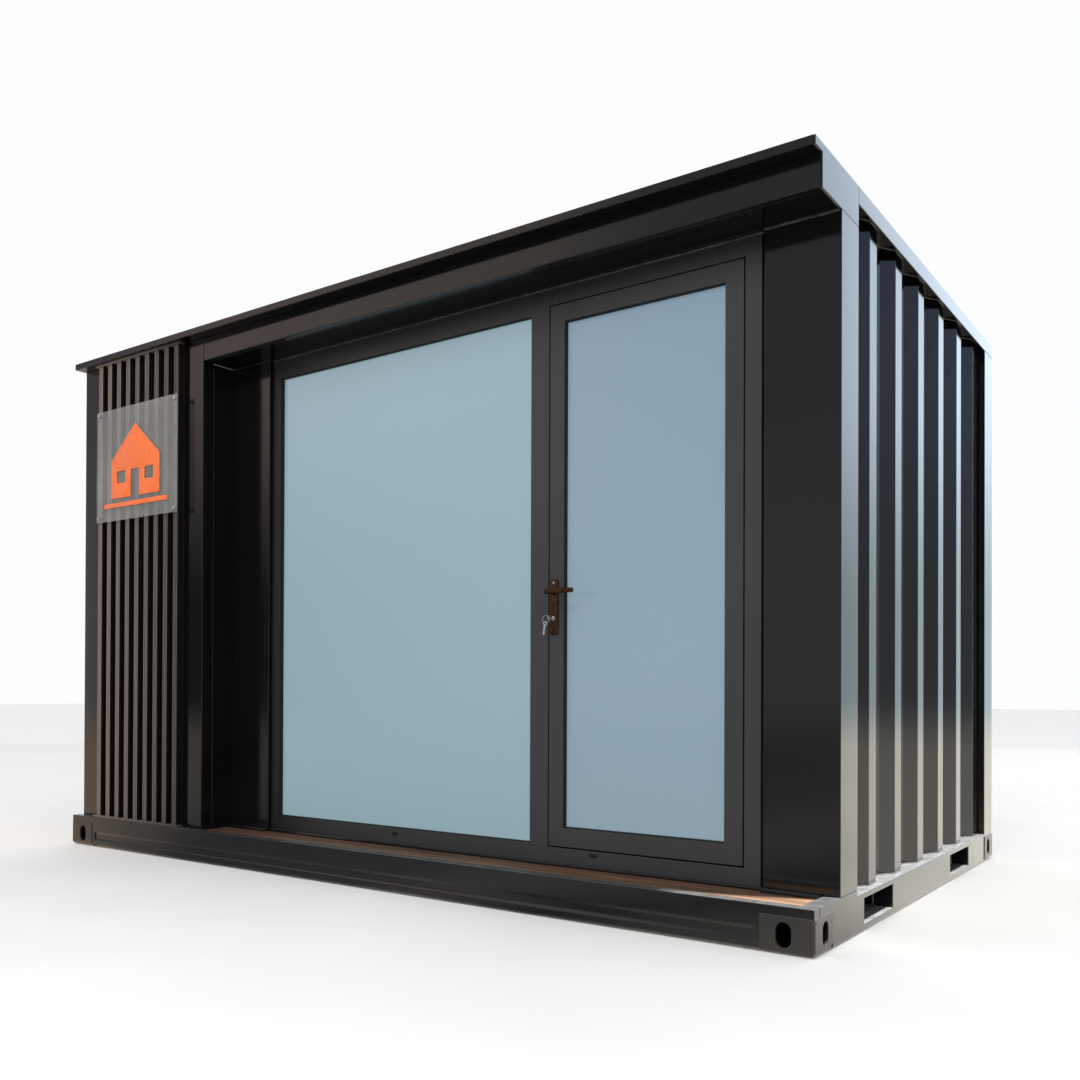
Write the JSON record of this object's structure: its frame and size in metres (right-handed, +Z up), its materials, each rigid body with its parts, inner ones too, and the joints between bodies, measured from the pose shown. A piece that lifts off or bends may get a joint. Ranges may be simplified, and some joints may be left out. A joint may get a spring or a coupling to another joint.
{
  "type": "shipping container cabin",
  "caption": "Steel container cabin with a recessed glazed front under a canopy, a slatted bay, corrugated ends and back, and a hinged glass door with a lever handle.",
  "frame": {"origin": "on the ground under the middle of the cabin", "axes": "+Z up, the glazed front faces -Y, +X points from the slatted bay towards the door"},
  "size_m": [4, 2.4, 2.5],
  "materials": {
    "steel": "gloss charcoal paint",
    "joinery": "satin charcoal powder coat",
    "slats": "brown-grey wood composite",
    "deck": "film-faced plywood with wood grain",
    "floor": "sealed plywood",
    "lining": "off-white wall board",
    "glass": "tinted reflective",
    "clear_plate": "clear acrylic",
    "bronze": "dark bronze",
    "nickel": "satin nickel"
  },
  "bodies": {
    "cabin": {"casting_front_left": "steel", "casting_front_right": "steel", "casting_rear_left": "steel", "casting_rear_right": "steel", "front_bottom_rail": "steel", "rear_bottom_rail": "steel", "left_bottom_rail": "steel", "right_bottom_rail": "steel", "fork_tunnels": "steel", "cross_members": "steel", "front_left_post": "steel", "front_right_post": "steel", "rear_posts": "steel", "left_corrugated_wall": "steel", "right_corrugated_wall": "steel", "rear_corrugated_wall": "steel", "end_top_rails": "steel", "rear_top_rail": "steel", "header_beam": "steel", "roof_panel": "steel", "fascia_beam": "steel", "soffit_panel": "steel", "canopy_end_plate": "steel", "bay_front_wall": "steel", "bay_return_wall": "steel", "left_flat_panel": "steel", "frame_left_jamb": "joinery", "frame_head": "joinery", "frame_sill": "joinery", "frame_mullion": "joinery", "frame_right_jamb": "joinery", "floor_panel": "floor", "porch_deck": "deck", "left_wall_lining": "lining", "right_wall_lining": "lining", "rear_wall_lining": "lining", "ceiling_panel": "lining", "bay_slats": "slats", "sign_plate": "clear_plate", "window_glass": "glass"},
    "door": {"door_leaf": "joinery", "door_glass": "glass", "door_escutcheons": "bronze", "door_lock_and_keys": "nickel"},
    "lever": {"lever_handle": "bronze"}
  },
  "joints": [
    {"name": "door_swing", "type": "hinge", "parent": "cabin", "child": "door", "pos_m": [1.678, -0.85, 1.25], "axis": [0, 0, -1], "range_deg": [0, 90]},
    {"name": "lever_turn", "type": "hinge", "parent": "door", "child": "lever", "pos_m": [0.873, -0.9, 1.185], "axis": [0, 1, 0], "range_deg": [0, 45], "stiffness_Nm_per_rad": 1.5, "springref_deg": -28.65}
  ]
}
